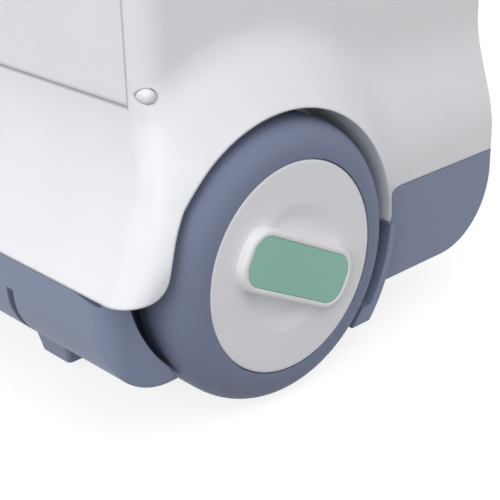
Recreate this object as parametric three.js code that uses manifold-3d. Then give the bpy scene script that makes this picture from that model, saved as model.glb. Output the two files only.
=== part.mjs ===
// Toy medical station: a wheeled cabinet of moulded plastic, in millimetres, +Z up.
// The origin is on the ground under the middle of the body, the door faces -Y.

import * as THREE from "three";
import { mergeVertices } from "three/addons/utils/BufferGeometryUtils.js";
import Module from "manifold-3d";

const wasm = await Module();
wasm.setup();

// Clearances and facets
const seamGap = 0.3;
const slipGap = 0.5;
const boreGap = 0.15;
const overrun = 2;
const wheelSteps = 44;
const rimSteps = 24;
const smallSteps = 16;
const holeSteps = 8;
const cornerSteps = 4;

// Wheels and axle
const tyreRadius = 54;
const tyreWidth = 24;
const tyreInnerRadius = 46;
const tyreLip = 4.5;
const tyreShoulderRun = 14;
const tyreShoulderDrop = 13.3;
const tyreShoulderPower = 2.2;
const tyreInnerRound = 2.5;
const hubRadius = 40;
const wheelStand = 12;
const hubSkin = 2.2;
const hubSkirtDepth = 10;
const hubEdgeRound = 1;
const dishRadius = 23;
const dishSlope = 4;
const dishDepth = 2;
const rimRing = 3;
const rimInset = 2;
const webThick = 3;
const webInset = 7.5;
const webHoleRadius = 8;
const webHoleCount = 6;
const hubTubeRadius = 8;
const hubTubeNose = 3;
const axleRadius = 3;
const nutRadius = 6;
const nutThick = 3;
const nutSeat = 1;

// Badge on each hub
const badgeHalfLength = 28.5;
const badgeHalfWidth = 12;
const badgeThick = 3.4;
const badgeBorder = 2.2;
const badgePocket = 1.4;
const badgeInsertThick = 1;
const badgeRound = 1;
const badgeStemRadius = 17;
const badgeTiltDegrees = 28;

// Body outline
const bodyDepth = 208.6;
const axleFromFront = 75.4;
const skirtHalf = 148;
const sideInset = 8;
const upperFrontInset = 27.4;
const upperRearInset = 3.3;
const skirtCorner = 12;
const bodyCorner = 10.8;
const wall = 2.4;
const undersideHeight = 22;
const partingHeight = 62;
const skirtHeight = 78;
const flareHeight = 110;
const sillHeight = 118;
const bodyHeight = 400;
const topRound = 14;

// Wheel arches
const archRadius = 57.4;
const archStand = 8;
const fenderRadius = 80;
const wellWall = 2.2;
const wellGap = 5;
const tubWellRadius = 57.6;
const tubWellShift = 2;
const tipDrop = 2;
const tipRound = 9;
const tabDrop = 11;
const tabFromArch = 6.6;
const flangeStand = 6.4;
const flangeWall = 2.2;
const flangeEnd = 14;

// Base tub
const tubFrontRound = 26;
const tubRearRound = 32;
const tubEdgeRound = 3;
const tubFrontCorner = 3;
const grooveFromSide = 59;
const grooveWidth = 5;
const grooveRadius = 30;
const grooveDepth = 3;
const cornerNotchLength = 12;
const cornerNotchDepth = 2.2;
const axleBossRadius = 7.4;
const axleBossLength = 12;
const tubRibFromSide = 103;
const tubRibThick = 2;
const tubRibHeight = 14;

// Screw posts
const postFromSide = 36;
const postFromFront = 15.5;
const postFromRear = 13;
const postRadius = 6;
const postHeight = 38;
const screwRadius = 1.5;
const screwHeadRadius = 3.4;
const screwHeadThick = 2.2;
const screwLength = 20;
const screwSeatDepth = 12;

// Feet
const footFromSide = 73;
const frontFootFromFront = 31.6;
const rearFootFromRear = 34.3;
const footHalfLength = 8;
const footHalfWidth = 5;
const footFlare = 6;
const footCorner = 2;
const frontFootLift = 4.2;
const footPegRadius = 3;
const footPegLength = 4;

// Door and its hinge pins
const doorFromSide = 11;
const doorSillGap = 1.1;
const doorwaySideGap = 0.5;
const doorRimDepth = 10;
const doorEdgeRound = 2;
const headerHeight = 26;
const frameDepth = 9.8;
const hingeFromFace = 4;
const hingeAboveSill = 5.2;
const pinRadius = 2.5;
const pinHeadRadius = 4;
const pinHeadLength = 3.8;
const pinReach = 12;
const pinProud = 0.6;
const pinBossRadius = 6.5;
const doorRibCount = 4;
const doorRibHeight = 5;
const doorRibThick = 2;

// Turn latch
const knobHalfLength = 16;
const knobHalfWidth = 6.5;
const knobThick = 8;
const knobRound = 1.5;
const latchFromTop = 20;
const latchShaftRadius = 3;
const latchBossRadius = 7;
const tongueLength = 32;
const tongueHalfWidth = 5;
const tongueThick = 3;

// Cabinet floor and shelf
const floorThick = 2.4;
const ledgeReach = 5;
const sillLedge = 13;
const shelfHeight = 252;
const shelfThick = 2.4;
const shelfLip = 9;
const shelfFromFront = 18;
const shelfDepth = 128;

// Pull handle
const tubeX = 60;
const tubeFromRear = 21;
const tubeRadius = 5;
const tubeWall = 0.9;
const tubeLength = 262;
const tubeGap = 0.4;
const sleeveWall = 1.8;
const sleeveSeatHeight = 12;
const pocketDepth = 12;
const gripHalf = 72;
const gripDepth = 22;
const gripHeight = 26;
const gripRound = 8;
const gripSocketDepth = 14;
const pocketGap = 1.5;
const buttonHalfLength = 13;
const buttonHalfWidth = 5;
const buttonProud = 2;
const buttonThick = 8;
const buttonTravel = 2.5;

// Places worked out from the sizes above
const frontY = -bodyDepth / 2;
const rearY = bodyDepth / 2;
const bodyHalf = skirtHalf - sideInset;
const hubFaceX = skirtHalf + wheelStand;
const archLipX = skirtHalf + archStand;
const flangeX = skirtHalf + flangeStand;
const grooveX = skirtHalf - grooveFromSide;
const postX = skirtHalf - postFromSide;
const footX = skirtHalf - footFromSide;
const tubRibX = skirtHalf - tubRibFromSide;
const doorHalf = bodyHalf - doorFromSide;
const axleY = frontY + axleFromFront;
const axleZ = tyreRadius;
const upperFrontY = frontY + upperFrontInset;
const upperRearY = rearY - upperRearInset;
const tyreBackX = hubFaceX - tyreWidth;
const wellX = tyreBackX - wellGap;
const wellBackX = wellX - wellWall;
const doorwayHalf = doorHalf + doorwaySideGap;
const doorwayTop = bodyHeight - headerHeight;
const doorBottom = sillHeight + doorSillGap;
const doorTop = doorwayTop - slipGap * 2;
const hingeY = upperFrontY + hingeFromFace;
const hingeZ = sillHeight + hingeAboveSill;
const tubeY = upperRearY - tubeFromRear;
const pocketFloor = bodyHeight - pocketDepth;
const sleeveRadius = tubeRadius + tubeGap + sleeveWall;

// Turns a geometry into a solid, with its faces pointing out
function solid(geometry) {
  geometry.deleteAttribute("normal");
  geometry.deleteAttribute("uv");
  const merged = mergeVertices(geometry, 1e-4);
  const points = merged.attributes.position.array;
  const corners = Uint32Array.from(merged.index.array);
  const [a, b, c] = [new THREE.Vector3(), new THREE.Vector3(), new THREE.Vector3()];
  let volume = 0;
  for (let i = 0; i < corners.length; i += 3) {
    a.fromArray(points, corners[i] * 3);
    b.fromArray(points, corners[i + 1] * 3);
    c.fromArray(points, corners[i + 2] * 3);
    volume += a.dot(b.cross(c));
  }
  if (volume < 0) {
    for (let i = 0; i < corners.length; i += 3) {
      [corners[i], corners[i + 1]] = [corners[i + 1], corners[i]];
    }
  }
  const mesh = new wasm.Mesh({
    numProp: 3,
    vertProperties: Float32Array.from(points),
    triVerts: corners,
  });
  return new wasm.Manifold(mesh);
}

// Turns a solid back into a geometry
function geometryOf(body) {
  const mesh = body.getMesh();
  const geometry = new THREE.BufferGeometry();
  geometry.setAttribute("position", new THREE.BufferAttribute(mesh.vertProperties, 3));
  geometry.setIndex(new THREE.BufferAttribute(mesh.triVerts, 1));
  geometry.computeVertexNormals();
  return geometry;
}

function joined(...bodies) {
  return bodies.reduce((sum, body) => sum.add(body));
}

function cutFrom(body, ...cutters) {
  return cutters.reduce((rest, cutter) => rest.subtract(cutter), body);
}

function mirrored(body) {
  return body.mirror([1, 0, 0]);
}

function bothSides(body) {
  return body.add(mirrored(body));
}

// A box between two corners
function block(x0, x1, y0, y1, z0, z1) {
  const box = new THREE.BoxGeometry(x1 - x0, y1 - y0, z1 - z0);
  return solid(box.translate((x0 + x1) / 2, (y0 + y1) / 2, (z0 + z1) / 2));
}

// A cylinder along X, Y or Z, from one place on that axis to another
function rod(axis, radius, from, to, u, v, steps = smallSteps) {
  const cylinder = new THREE.CylinderGeometry(radius, radius, to - from, steps);
  const middle = (from + to) / 2;
  if (axis === "x") {
    return solid(cylinder.rotateZ(-Math.PI / 2).translate(middle, u, v));
  }
  if (axis === "y") {
    return solid(cylinder.translate(u, middle, v));
  }
  return solid(cylinder.rotateX(Math.PI / 2).translate(u, v, middle));
}

// A profile of [x, radius] points turned about the X axis
function turned(profile, steps = wheelSteps) {
  const points = profile.map(([x, radius]) => new THREE.Vector2(radius, x));
  return solid(new THREE.LatheGeometry(points, steps).rotateZ(-Math.PI / 2));
}

// An outline in the Y-Z plane, drawn out along X
function alongX(shape, from, to, round = 0) {
  const geometry = new THREE.ExtrudeGeometry(shape, {
    depth: to - from - round * 2,
    bevelEnabled: round > 0,
    bevelSize: round,
    bevelThickness: round,
    bevelOffset: -round,
    bevelSegments: 2,
    curveSegments: cornerSteps,
  });
  const turn = new THREE.Matrix4().makeBasis(
    new THREE.Vector3(0, 1, 0),
    new THREE.Vector3(0, 0, 1),
    new THREE.Vector3(1, 0, 0),
  );
  return solid(geometry.applyMatrix4(turn).translate(from + round, 0, 0));
}

// An outline in the X-Y plane, drawn up along Z
function alongZ(shape, from, to, round = 0) {
  const geometry = new THREE.ExtrudeGeometry(shape, {
    depth: to - from - round * 2,
    bevelEnabled: round > 0,
    bevelSize: round,
    bevelThickness: round,
    bevelOffset: -round,
    bevelSegments: 2,
    curveSegments: cornerSteps,
  });
  return solid(geometry.translate(0, 0, from + round));
}

// A straight bar with full round ends, centred on the origin
function pill(halfLength, halfWidth) {
  const shape = new THREE.Shape();
  const straight = halfLength - halfWidth;
  shape.absarc(straight, 0, halfWidth, -Math.PI / 2, Math.PI / 2, false);
  shape.absarc(-straight, 0, halfWidth, Math.PI / 2, (Math.PI * 3) / 2, false);
  shape.closePath();
  return shape;
}

// A rectangle with its own corner radius at each end
function plate(half, front, rear, frontCorner, rearCorner) {
  const shape = new THREE.Shape();
  shape.absarc(half - frontCorner, front + frontCorner, frontCorner, -Math.PI / 2, 0, false);
  shape.absarc(half - rearCorner, rear - rearCorner, rearCorner, 0, Math.PI / 2, false);
  shape.absarc(-half + rearCorner, rear - rearCorner, rearCorner, Math.PI / 2, Math.PI, false);
  shape.absarc(
    -half + frontCorner,
    front + frontCorner,
    frontCorner,
    Math.PI,
    (Math.PI * 3) / 2,
    false,
  );
  shape.closePath();
  return shape;
}

// One level of a loft: the points round a rounded rectangle
function ring(half, front, rear, corner, height) {
  const centres = [
    [half - corner, front + corner, -Math.PI / 2],
    [half - corner, rear - corner, 0],
    [corner - half, rear - corner, Math.PI / 2],
    [corner - half, front + corner, Math.PI],
  ];
  return centres.flatMap(([x, y, start]) =>
    Array.from({ length: cornerSteps + 1 }, (_, i) => {
      const angle = start + (Math.PI / 2) * (i / cornerSteps);
      const across = x + corner * Math.cos(angle);
      const along = y + corner * Math.sin(angle);
      return [across, along, height];
    }),
  );
}

// A closed skin over rings of equal count, with a flat cap at each end
function loft(rings) {
  const count = rings[0].length;
  const points = rings.flat(2);
  const faces = [];
  for (let level = 0; level + 1 < rings.length; level += 1) {
    for (let i = 0; i < count; i += 1) {
      const a = level * count + i;
      const b = level * count + ((i + 1) % count);
      faces.push(a, b, b + count, a, b + count, a + count);
    }
  }
  const top = (rings.length - 1) * count;
  for (let i = 1; i + 1 < count; i += 1) {
    faces.push(0, i + 1, i, top, top + i, top + i + 1);
  }
  const geometry = new THREE.BufferGeometry();
  geometry.setAttribute("position", new THREE.Float32BufferAttribute(points, 3));
  geometry.setIndex(faces);
  return solid(geometry);
}

function blend(value, from, to, start, end) {
  return THREE.MathUtils.mapLinear(THREE.MathUtils.clamp(value, from, to), from, to, start, end);
}

// The body's outline at a height: the skirt flares out below the door
function bodyRing(height, half, inset, drawnIn) {
  const shrink = inset + drawnIn;
  const flare = blend(height, skirtHeight, flareHeight, 0, 1);
  const side = half + (bodyHalf - skirtHalf) * flare;
  const front = blend(height, partingHeight, sillHeight, frontY, upperFrontY);
  const rear = rearY + (upperRearY - rearY) * flare;
  const corner = blend(height, partingHeight, sillHeight, skirtCorner, bodyCorner) - inset;
  return ring(side - shrink, front + shrink, rear - shrink, corner, height);
}

// The whole body as one loft, drawn in evenly by inset, with a rounded top edge
function bodyForm(half, inset, bottom) {
  const straightTop = bodyHeight - topRound;
  const heights = [bottom, skirtHeight, flareHeight, sillHeight, straightTop];
  const rings = heights.map((height) => bodyRing(height, half, inset, 0));
  const round = topRound - inset;
  for (let i = 1; i <= cornerSteps; i += 1) {
    const angle = (Math.PI / 2) * (i / (cornerSteps + 1));
    const drawnIn = round * (1 - Math.cos(angle));
    const level = bodyRing(straightTop, half, inset, drawnIn);
    const height = straightTop + round * Math.sin(angle);
    rings.push(level.map(([x, y]) => [x, y, height]));
  }
  const last = bodyRing(straightTop, half, inset, round * (1 - Math.cos(Math.PI / 2.2)));
  rings.push(last.map(([x, y]) => [x, y, bodyHeight - inset]));
  return loft(rings);
}

// The bulge round a wheel: a cone on the axle's line, from the body's side to the arch's lip
function fenderCone(inset) {
  const slope = Math.hypot(archLipX - bodyHalf, fenderRadius - archRadius);
  const shift = (inset * slope) / (fenderRadius - archRadius);
  const root = bodyHalf - (skirtHalf - bodyHalf) * 2;
  const cone = turned([
    [root, 0],
    [root, fenderRadius],
    [bodyHalf - shift, fenderRadius],
    [archLipX - shift, archRadius],
    [archLipX - shift, 0],
  ]);
  return cone.translate([0, axleY, axleZ]);
}

function wheelDrum(radius, from, to, steps = wheelSteps) {
  return rod("x", radius, from, to, axleY, axleZ, steps);
}

// The tub's wheel well stands a little behind the axle's line, for room behind the tyre
function tubDrum(radius, from, to) {
  return rod("x", radius, from, to, axleY + tubWellShift, axleZ, wheelSteps);
}

// The fender above the parting line, inside a wider copy of the body's outline
function fenderForm(inset) {
  const reach = bodyForm(archLipX, inset, partingHeight);
  return fenderCone(inset).intersect(reach);
}

// The fender's two legs, which hang outside the tub: a rounded tip in front, a square tab behind
function fenderLegs() {
  const outside = skirtHalf + seamGap;
  const tipBottom = partingHeight - tipDrop;
  const archEdge = axleY - archRadius;
  const wide = bodyForm(archLipX, 0, tipBottom - overrun);
  const tipBox = block(outside, hubFaceX, frontY, axleY, tipBottom, partingHeight + overrun);
  const tip = fenderCone(0).intersect(wide).intersect(tipBox);
  const tabEnd = axleY + archRadius + tabFromArch;
  const tabBottom = partingHeight - tabDrop;
  const tabBox = block(outside, hubFaceX, axleY, tabEnd, tabBottom, partingHeight + overrun);
  const tab = fenderCone(0).intersect(tabBox);
  const fillet = cutFrom(
    block(
      skirtHalf - fenderRadius,
      hubFaceX + overrun,
      archEdge - tipRound,
      archEdge + tipRound,
      tipBottom - overrun,
      tipBottom + tipRound,
    ),
    rod(
      "x",
      tipRound,
      skirtHalf - fenderRadius * 2,
      hubFaceX + overrun * 2,
      archEdge - tipRound,
      tipBottom + tipRound,
      wheelSteps,
    ),
  );
  return { legs: tip.add(tab), fillet };
}

const postPlaces = [
  [postX, frontY + postFromFront],
  [postX, rearY - postFromRear],
];

// White body: one moulding with the cabinet's walls, top, sloping apron and wheel fenders
function bodyShell() {
  const outer = bodyForm(skirtHalf, 0, partingHeight);
  const { legs, fillet } = fenderLegs();
  const fenders = bothSides(fenderForm(0).add(legs));
  const cavity = joined(
    bodyForm(skirtHalf, wall, partingHeight - overrun),
    bothSides(fenderForm(wall)),
    bothSides(
      fenderCone(wall)
        .intersect(bodyForm(archLipX, wall, partingHeight - overrun))
        .intersect(block(0, skirtHalf, frontY, rearY, 0, partingHeight + overrun)),
    ),
  );

  const wellHousing = bothSides(wheelDrum(archRadius + wellWall, wellBackX, hubFaceX));
  const recess = bothSides(wheelDrum(archRadius, wellX, hubFaceX + overrun));
  const sideFrame = block(
    doorwayHalf,
    doorwayHalf + wall,
    upperFrontY,
    upperFrontY + frameDepth,
    sillHeight - floorThick,
    doorwayTop + wall,
  );
  const header = block(
    -doorwayHalf,
    doorwayHalf,
    upperFrontY,
    upperFrontY + frameDepth,
    doorwayTop,
    doorwayTop + wall,
  );
  const sill = block(
    -doorwayHalf - wall,
    doorwayHalf + wall,
    upperFrontY,
    upperFrontY + sillLedge,
    sillHeight - floorThick,
    sillHeight,
  );
  const floorUnder = sillHeight - floorThick - seamGap;
  const innerHalf = bodyHalf - wall;
  const sideLedge = block(
    innerHalf - ledgeReach,
    innerHalf + overrun,
    upperFrontY + sillLedge,
    upperRearY,
    floorUnder - wall,
    floorUnder,
  );
  const rearLedge = block(
    -innerHalf,
    innerHalf,
    upperRearY - wall - ledgeReach,
    upperRearY,
    floorUnder - wall,
    floorUnder,
  );
  const shelfUnder = shelfHeight - seamGap;
  const shelfRib = block(
    innerHalf - ledgeReach,
    innerHalf + overrun,
    upperFrontY + shelfFromFront,
    upperFrontY + shelfFromFront + shelfDepth,
    shelfUnder - wall,
    shelfUnder,
  );
  const pinBoss = rod("x", pinBossRadius, doorwayHalf, bodyHalf, hingeY, hingeZ);
  const pocketHalf = gripHalf + pocketGap;
  const pocketReach = gripDepth / 2 + pocketGap;
  const pocketHousing = block(
    -pocketHalf - wall,
    pocketHalf + wall,
    tubeY - pocketReach - wall,
    tubeY + pocketReach + wall,
    pocketFloor - wall,
    bodyHeight,
  );
  const posts = postPlaces.map(([x, y]) => {
    const post = rod("z", postRadius, partingHeight, partingHeight + postHeight, x, y);
    const web = block(
      x - wall / 2,
      x + wall / 2,
      Math.min(y, Math.sign(y) * rearY),
      Math.max(y, Math.sign(y) * rearY),
      partingHeight,
      partingHeight + postHeight,
    );
    return bothSides(post.add(web));
  });
  const inside = joined(
    wellHousing,
    bothSides(joined(sideFrame, sideLedge, shelfRib, pinBoss)),
    header,
    sill,
    rearLedge,
    pocketHousing,
    ...posts,
  );

  const doorway = block(
    -doorwayHalf,
    doorwayHalf,
    upperFrontY - overrun,
    upperFrontY + wall + overrun,
    sillHeight,
    doorwayTop,
  );
  const pocket = block(
    -pocketHalf,
    pocketHalf,
    tubeY - pocketReach,
    tubeY + pocketReach,
    pocketFloor,
    bodyHeight + overrun,
  );
  const tubeHole = rod(
    "z",
    tubeRadius + tubeGap,
    pocketFloor - wall - overrun,
    pocketFloor + overrun,
    tubeX,
    tubeY,
  );
  const pinBore = joined(
    rod("x", pinRadius + boreGap, doorwayHalf - overrun, bodyHalf, hingeY, hingeZ),
    rod(
      "x",
      pinHeadRadius + boreGap,
      bodyHalf + pinProud - pinHeadLength,
      bodyHalf + overrun,
      hingeY,
      hingeZ,
    ),
  );
  const pilots = postPlaces.map(([x, y]) => {
    const end = partingHeight + screwLength;
    return rod("z", screwRadius + boreGap, partingHeight - overrun, end, x, y);
  });
  const cabinet = outer.add(fenders).subtract(cavity.subtract(inside));
  return cutFrom(
    cabinet,
    doorway,
    pocket,
    recess,
    bothSides(fillet),
    bothSides(joined(tubeHole, pinBore, ...pilots)),
  );
}

// The tub's side outline, drawn in evenly by inset
function tubOutline(inset, top) {
  const shape = new THREE.Shape();
  const frontRound = tubFrontRound - inset;
  const rearRound = tubRearRound - inset;
  shape.absarc(
    frontY + tubFrontRound,
    undersideHeight + tubFrontRound,
    frontRound,
    Math.PI,
    (Math.PI * 3) / 2,
    false,
  );
  shape.absarc(
    rearY - tubRearRound,
    undersideHeight + tubRearRound,
    rearRound,
    -Math.PI / 2,
    0,
    false,
  );
  shape.lineTo(rearY - inset, top);
  shape.lineTo(frontY + inset, top);
  shape.closePath();
  return shape;
}

// Grey-blue base: a tub with wheel wells, axle bosses, screw posts and two grooves in its nose
function baseTub() {
  const top = partingHeight - seamGap;
  const plan = (inset) =>
    alongZ(
      plate(
        skirtHalf - inset,
        frontY + inset,
        rearY - inset,
        Math.max(tubFrontCorner - inset, boreGap),
        skirtCorner - inset,
      ),
      0,
      top + overrun * 2,
    );
  const outer = alongX(tubOutline(0, top + tubEdgeRound), -skirtHalf, skirtHalf, tubEdgeRound)
    .intersect(plan(0))
    .intersect(block(-skirtHalf, skirtHalf, frontY, rearY, 0, top));
  const innerHalf = skirtHalf - wall;
  const cavity = alongX(tubOutline(wall, top + overrun), -innerHalf, innerHalf).intersect(
    plan(wall),
  );

  const flangeOuter = tubWellRadius + flangeWall;
  const tabClear = partingHeight - tabDrop - seamGap;
  const behind = block(wellX, flangeX, axleY + tubWellShift, rearY, flangeEnd, tabClear);
  const flange = tubDrum(flangeOuter, skirtHalf - wall, flangeX).intersect(behind);
  const housing = tubDrum(flangeOuter, wellBackX, skirtHalf).intersect(outer);
  const bosses = wheelDrum(axleBossRadius, wellBackX - axleBossLength, wellBackX).intersect(outer);
  const ribs = block(
    tubRibX - tubRibThick / 2,
    tubRibX + tubRibThick / 2,
    frontY + tubFrontRound,
    rearY - tubRearRound,
    undersideHeight,
    undersideHeight + tubRibHeight,
  );
  const posts = postPlaces.map(([x, y]) =>
    rod("z", postRadius, undersideHeight, top, x, y).intersect(outer),
  );
  const seatHigh = undersideHeight + sleeveSeatHeight;
  const sleeveSeat = rod("z", sleeveRadius, undersideHeight, seatHigh, tubeX, tubeY);
  const kept = bothSides(joined(housing, bosses, ribs, sleeveSeat.intersect(outer), ...posts));

  const recess = tubDrum(tubWellRadius, wellX, hubFaceX);
  const axleBore = wheelDrum(
    axleRadius + boreGap,
    wellBackX - axleBossLength - overrun,
    hubFaceX,
    smallSteps,
  );
  const seatTop = top - screwSeatDepth;
  const screwBores = postPlaces.map(([x, y]) =>
    rod("z", screwHeadRadius + boreGap, 0, seatTop, x, y).add(
      rod("z", screwRadius + boreGap, seatTop - overrun, top + overrun, x, y),
    ),
  );
  const pegBores = footPlaces.map(([y]) =>
    rod("z", footPegRadius + boreGap, 0, undersideHeight + footPegLength + overrun, footX, y),
  );
  const groove = rod(
    "x",
    grooveRadius,
    grooveX,
    grooveX + grooveWidth,
    frontY + tubFrontRound - grooveDepth - Math.SQRT1_2 * (grooveRadius + tubFrontRound),
    undersideHeight + tubFrontRound - Math.SQRT1_2 * (grooveRadius + tubFrontRound),
    wheelSteps,
  ).translate([0, grooveDepth * 2, grooveDepth]);
  const notch = block(
    skirtHalf - cornerNotchLength,
    skirtHalf + overrun,
    frontY - overrun,
    frontY + cornerNotchLength,
    top - cornerNotchDepth,
    top + overrun,
  );
  const tub = outer.add(bothSides(flange)).subtract(cavity.subtract(kept));
  return cutFrom(
    tub,
    bothSides(joined(recess, axleBore, groove, notch, ...screwBores, ...pegBores)),
  );
}

// Each foot's place along the body, and the height of its sole
const footPlaces = [
  [frontY + frontFootFromFront, frontFootLift],
  [rearY - rearFootFromRear, 0],
];

// A tapered foot with a peg that plugs into the tub
function foot(sole) {
  const top = undersideHeight - seamGap;
  const low = ring(footHalfLength, -footHalfWidth, footHalfWidth, footCorner, sole);
  const high = ring(
    footHalfLength + footFlare,
    -footHalfWidth - footFlare,
    footHalfWidth + footFlare,
    footCorner,
    top,
  );
  const peg = rod("z", footPegRadius, top - overrun, undersideHeight + footPegLength, 0, 0);
  return loft([low, high]).add(peg);
}

// A screw that draws the shell down on the tub, seated in a post
function tubScrew() {
  const seat = partingHeight - seamGap - screwSeatDepth - seamGap;
  const head = rod("z", screwHeadRadius - boreGap, seat - screwHeadThick, seat, 0, 0);
  const shank = rod("z", screwRadius - boreGap, seat - overrun / 2, seat + screwLength, 0, 0);
  return head.add(shank);
}

// The tyre: soft shoulder on the outside, tighter corner inside, a lip over the rim
function tyre() {
  const face = hubFaceX;
  const bore = hubRadius + seamGap;
  const shoulder = Array.from({ length: cornerSteps * 2 }, (_, i) => {
    const angle = (Math.PI / 2) * (i / (cornerSteps * 2 - 1));
    const power = 2 / tyreShoulderPower;
    const run = tyreShoulderRun * Math.sin(angle) ** power;
    const rise = tyreShoulderDrop * Math.cos(angle) ** power;
    return [face - tyreShoulderRun + run, tyreRadius - tyreShoulderDrop + rise];
  });
  return turned([
    [tyreBackX, tyreInnerRadius],
    [tyreBackX, tyreRadius - tyreInnerRound],
    [tyreBackX + tyreInnerRound, tyreRadius],
    ...shoulder,
    [face, bore],
    [face - tyreLip, bore],
    [face - tyreLip, tyreInnerRadius],
    [tyreBackX, tyreInnerRadius],
  ]);
}

// The wheel's inner moulding: a hub tube, a pierced web and the ring that holds the tyre
function rim() {
  const bore = axleRadius + boreGap;
  const ringOuter = tyreInnerRadius - seamGap;
  const ringInner = ringOuter - rimRing;
  const webFront = hubFaceX - hubSkirtDepth - hubSkin;
  const webBack = webFront - webThick;
  const ringFront = hubFaceX - tyreLip - seamGap;
  const nose = webFront + hubTubeNose;
  const wheel = turned([
    [wellX + seamGap, bore],
    [wellX + seamGap, hubTubeRadius],
    [webBack, hubTubeRadius],
    [webBack, ringInner],
    [tyreBackX + rimInset, ringInner],
    [tyreBackX + rimInset, ringOuter],
    [ringFront, ringOuter],
    [ringFront, ringInner],
    [webFront, ringInner],
    [webFront, hubTubeRadius],
    [nose, hubTubeRadius],
    [nose, bore],
    [wellX + seamGap, bore],
  ], rimSteps);
  const holeRing = (hubTubeRadius + ringInner) / 2;
  const holes = Array.from({ length: webHoleCount }, (_, i) => {
    const angle = (Math.PI * 2 * i) / webHoleCount;
    const y = holeRing * Math.cos(angle);
    const z = holeRing * Math.sin(angle);
    return rod("x", webHoleRadius, webBack - overrun, webFront + overrun, y, z, holeSteps);
  });
  return cutFrom(wheel, ...holes);
}

// The white hub cap, with a shallow round dish behind the badge
function hubCap() {
  const face = hubFaceX;
  const outer = hubRadius - seamGap;
  const back = face - hubSkirtDepth - hubSkin + seamGap;
  return turned([
    [face - dishDepth, 0],
    [face - dishDepth, dishRadius - dishSlope],
    [face - dishDepth / 2, dishRadius - dishSlope / 3],
    [face, dishRadius + dishSlope / 3],
    [face, outer - hubEdgeRound],
    [face - hubEdgeRound / 3, outer - hubEdgeRound / 3],
    [face - hubEdgeRound, outer],
    [back, outer],
    [back, outer - hubSkin],
    [face - hubSkin, outer - hubSkin],
    [face - hubSkin, dishRadius + dishSlope / 3],
    [face - hubSkin - dishDepth, dishRadius - dishSlope],
    [face - hubSkin - dishDepth, 0],
  ]);
}

// The raised white bar across the hub, with a pocket for the coloured plate
function badgeBar() {
  const base = hubFaceX + seamGap;
  const bar = alongX(pill(badgeHalfLength, badgeHalfWidth), base, base + badgeThick, badgeRound);
  const stem = rod("x", badgeStemRadius, hubFaceX - dishDepth + seamGap, base + badgeRound, 0, 0)
    .intersect(
      alongX(
        pill(badgeHalfLength - badgeRound, badgeHalfWidth - badgeRound),
        hubFaceX - dishDepth,
        base + badgeThick,
      ),
    );
  const pocket = alongX(
    pill(badgeHalfLength - badgeBorder, badgeHalfWidth - badgeBorder),
    base + badgeThick - badgePocket,
    base + badgeThick + overrun,
  );
  return bar.add(stem).subtract(pocket);
}

function badgePlate() {
  const floor = hubFaceX + seamGap + badgeThick - badgePocket + seamGap;
  const border = badgeBorder + seamGap;
  const outline = pill(badgeHalfLength - border, badgeHalfWidth - border);
  return alongX(outline, floor, floor + badgeInsertThick);
}

function axle() {
  const end = hubFaceX - hubSkirtDepth - hubSkin + hubTubeNose + seamGap + nutThick + nutSeat;
  return rod("x", axleRadius, -end, end, 0, 0);
}

// The pressed cap that keeps a wheel on the axle
function axleNut() {
  const seat = hubFaceX - hubSkirtDepth - hubSkin + hubTubeNose + seamGap;
  return turned(
    [
      [seat, axleRadius + boreGap],
      [seat, nutRadius],
      [seat + nutThick / 3, nutRadius],
      [seat + nutThick, axleRadius + nutSeat],
      [seat + nutThick, axleRadius + boreGap],
      [seat, axleRadius + boreGap],
    ],
    smallSteps,
  );
}

// The drop-down door: a shallow tray with ribs, hinge bosses and a latch boss inside
function frontDoor() {
  const face = upperFrontY;
  const back = face + doorRimDepth;
  const profile = new THREE.Shape();
  profile.absarc(
    face + doorEdgeRound,
    doorBottom + doorEdgeRound,
    doorEdgeRound,
    Math.PI,
    (Math.PI * 3) / 2,
    false,
  );
  profile.lineTo(back, doorBottom);
  profile.lineTo(back, doorTop);
  profile.lineTo(face, doorTop);
  profile.closePath();
  const outer = alongX(profile, -doorHalf, doorHalf);
  const tray = block(
    wall - doorHalf,
    doorHalf - wall,
    face + wall,
    back + overrun,
    doorBottom + wall,
    doorTop - wall,
  );
  const hingeBoss = rod(
    "x",
    hingeFromFace + boreGap,
    doorHalf - pinReach - wall,
    doorHalf,
    hingeY,
    hingeZ,
  ).intersect(outer);
  const latchZ = doorTop - latchFromTop;
  const latchBoss = rod("y", latchBossRadius, face, back, 0, latchZ);
  const ribSpacing = (doorHalf * 2) / (doorRibCount + 1);
  const ribs = Array.from({ length: doorRibCount }, (_, i) => {
    const x = ribSpacing * (i + 1) - doorHalf;
    return block(
      x - doorRibThick / 2,
      x + doorRibThick / 2,
      face,
      face + wall + doorRibHeight,
      doorBottom,
      doorTop,
    );
  });
  const kept = joined(bothSides(hingeBoss), latchBoss, ...ribs);
  const hingeBore = rod(
    "x",
    pinRadius + boreGap,
    doorHalf - pinReach,
    doorHalf + overrun,
    hingeY,
    hingeZ,
  );
  const latchBore = rod(
    "y",
    latchShaftRadius + boreGap,
    face - overrun,
    back + overrun,
    0,
    latchZ,
  );
  return cutFrom(outer, tray.subtract(kept), bothSides(hingeBore), latchBore);
}

// A headed pin, pushed in from the side through the corner of the body into the door
function hingePin() {
  const headEnd = bodyHalf + pinProud;
  const headStart = headEnd - pinHeadLength + boreGap;
  const round = pinHeadRadius / 4;
  const pin = turned(
    [
      [doorHalf - pinReach + seamGap, 0],
      [doorHalf - pinReach + seamGap, pinRadius],
      [headStart, pinRadius],
      [headStart, pinHeadRadius],
      [headEnd - round, pinHeadRadius],
      [headEnd - round / 3, pinHeadRadius - round / 3],
      [headEnd, pinHeadRadius - round],
      [headEnd, 0],
    ],
    smallSteps,
  );
  return pin;
}

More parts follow.
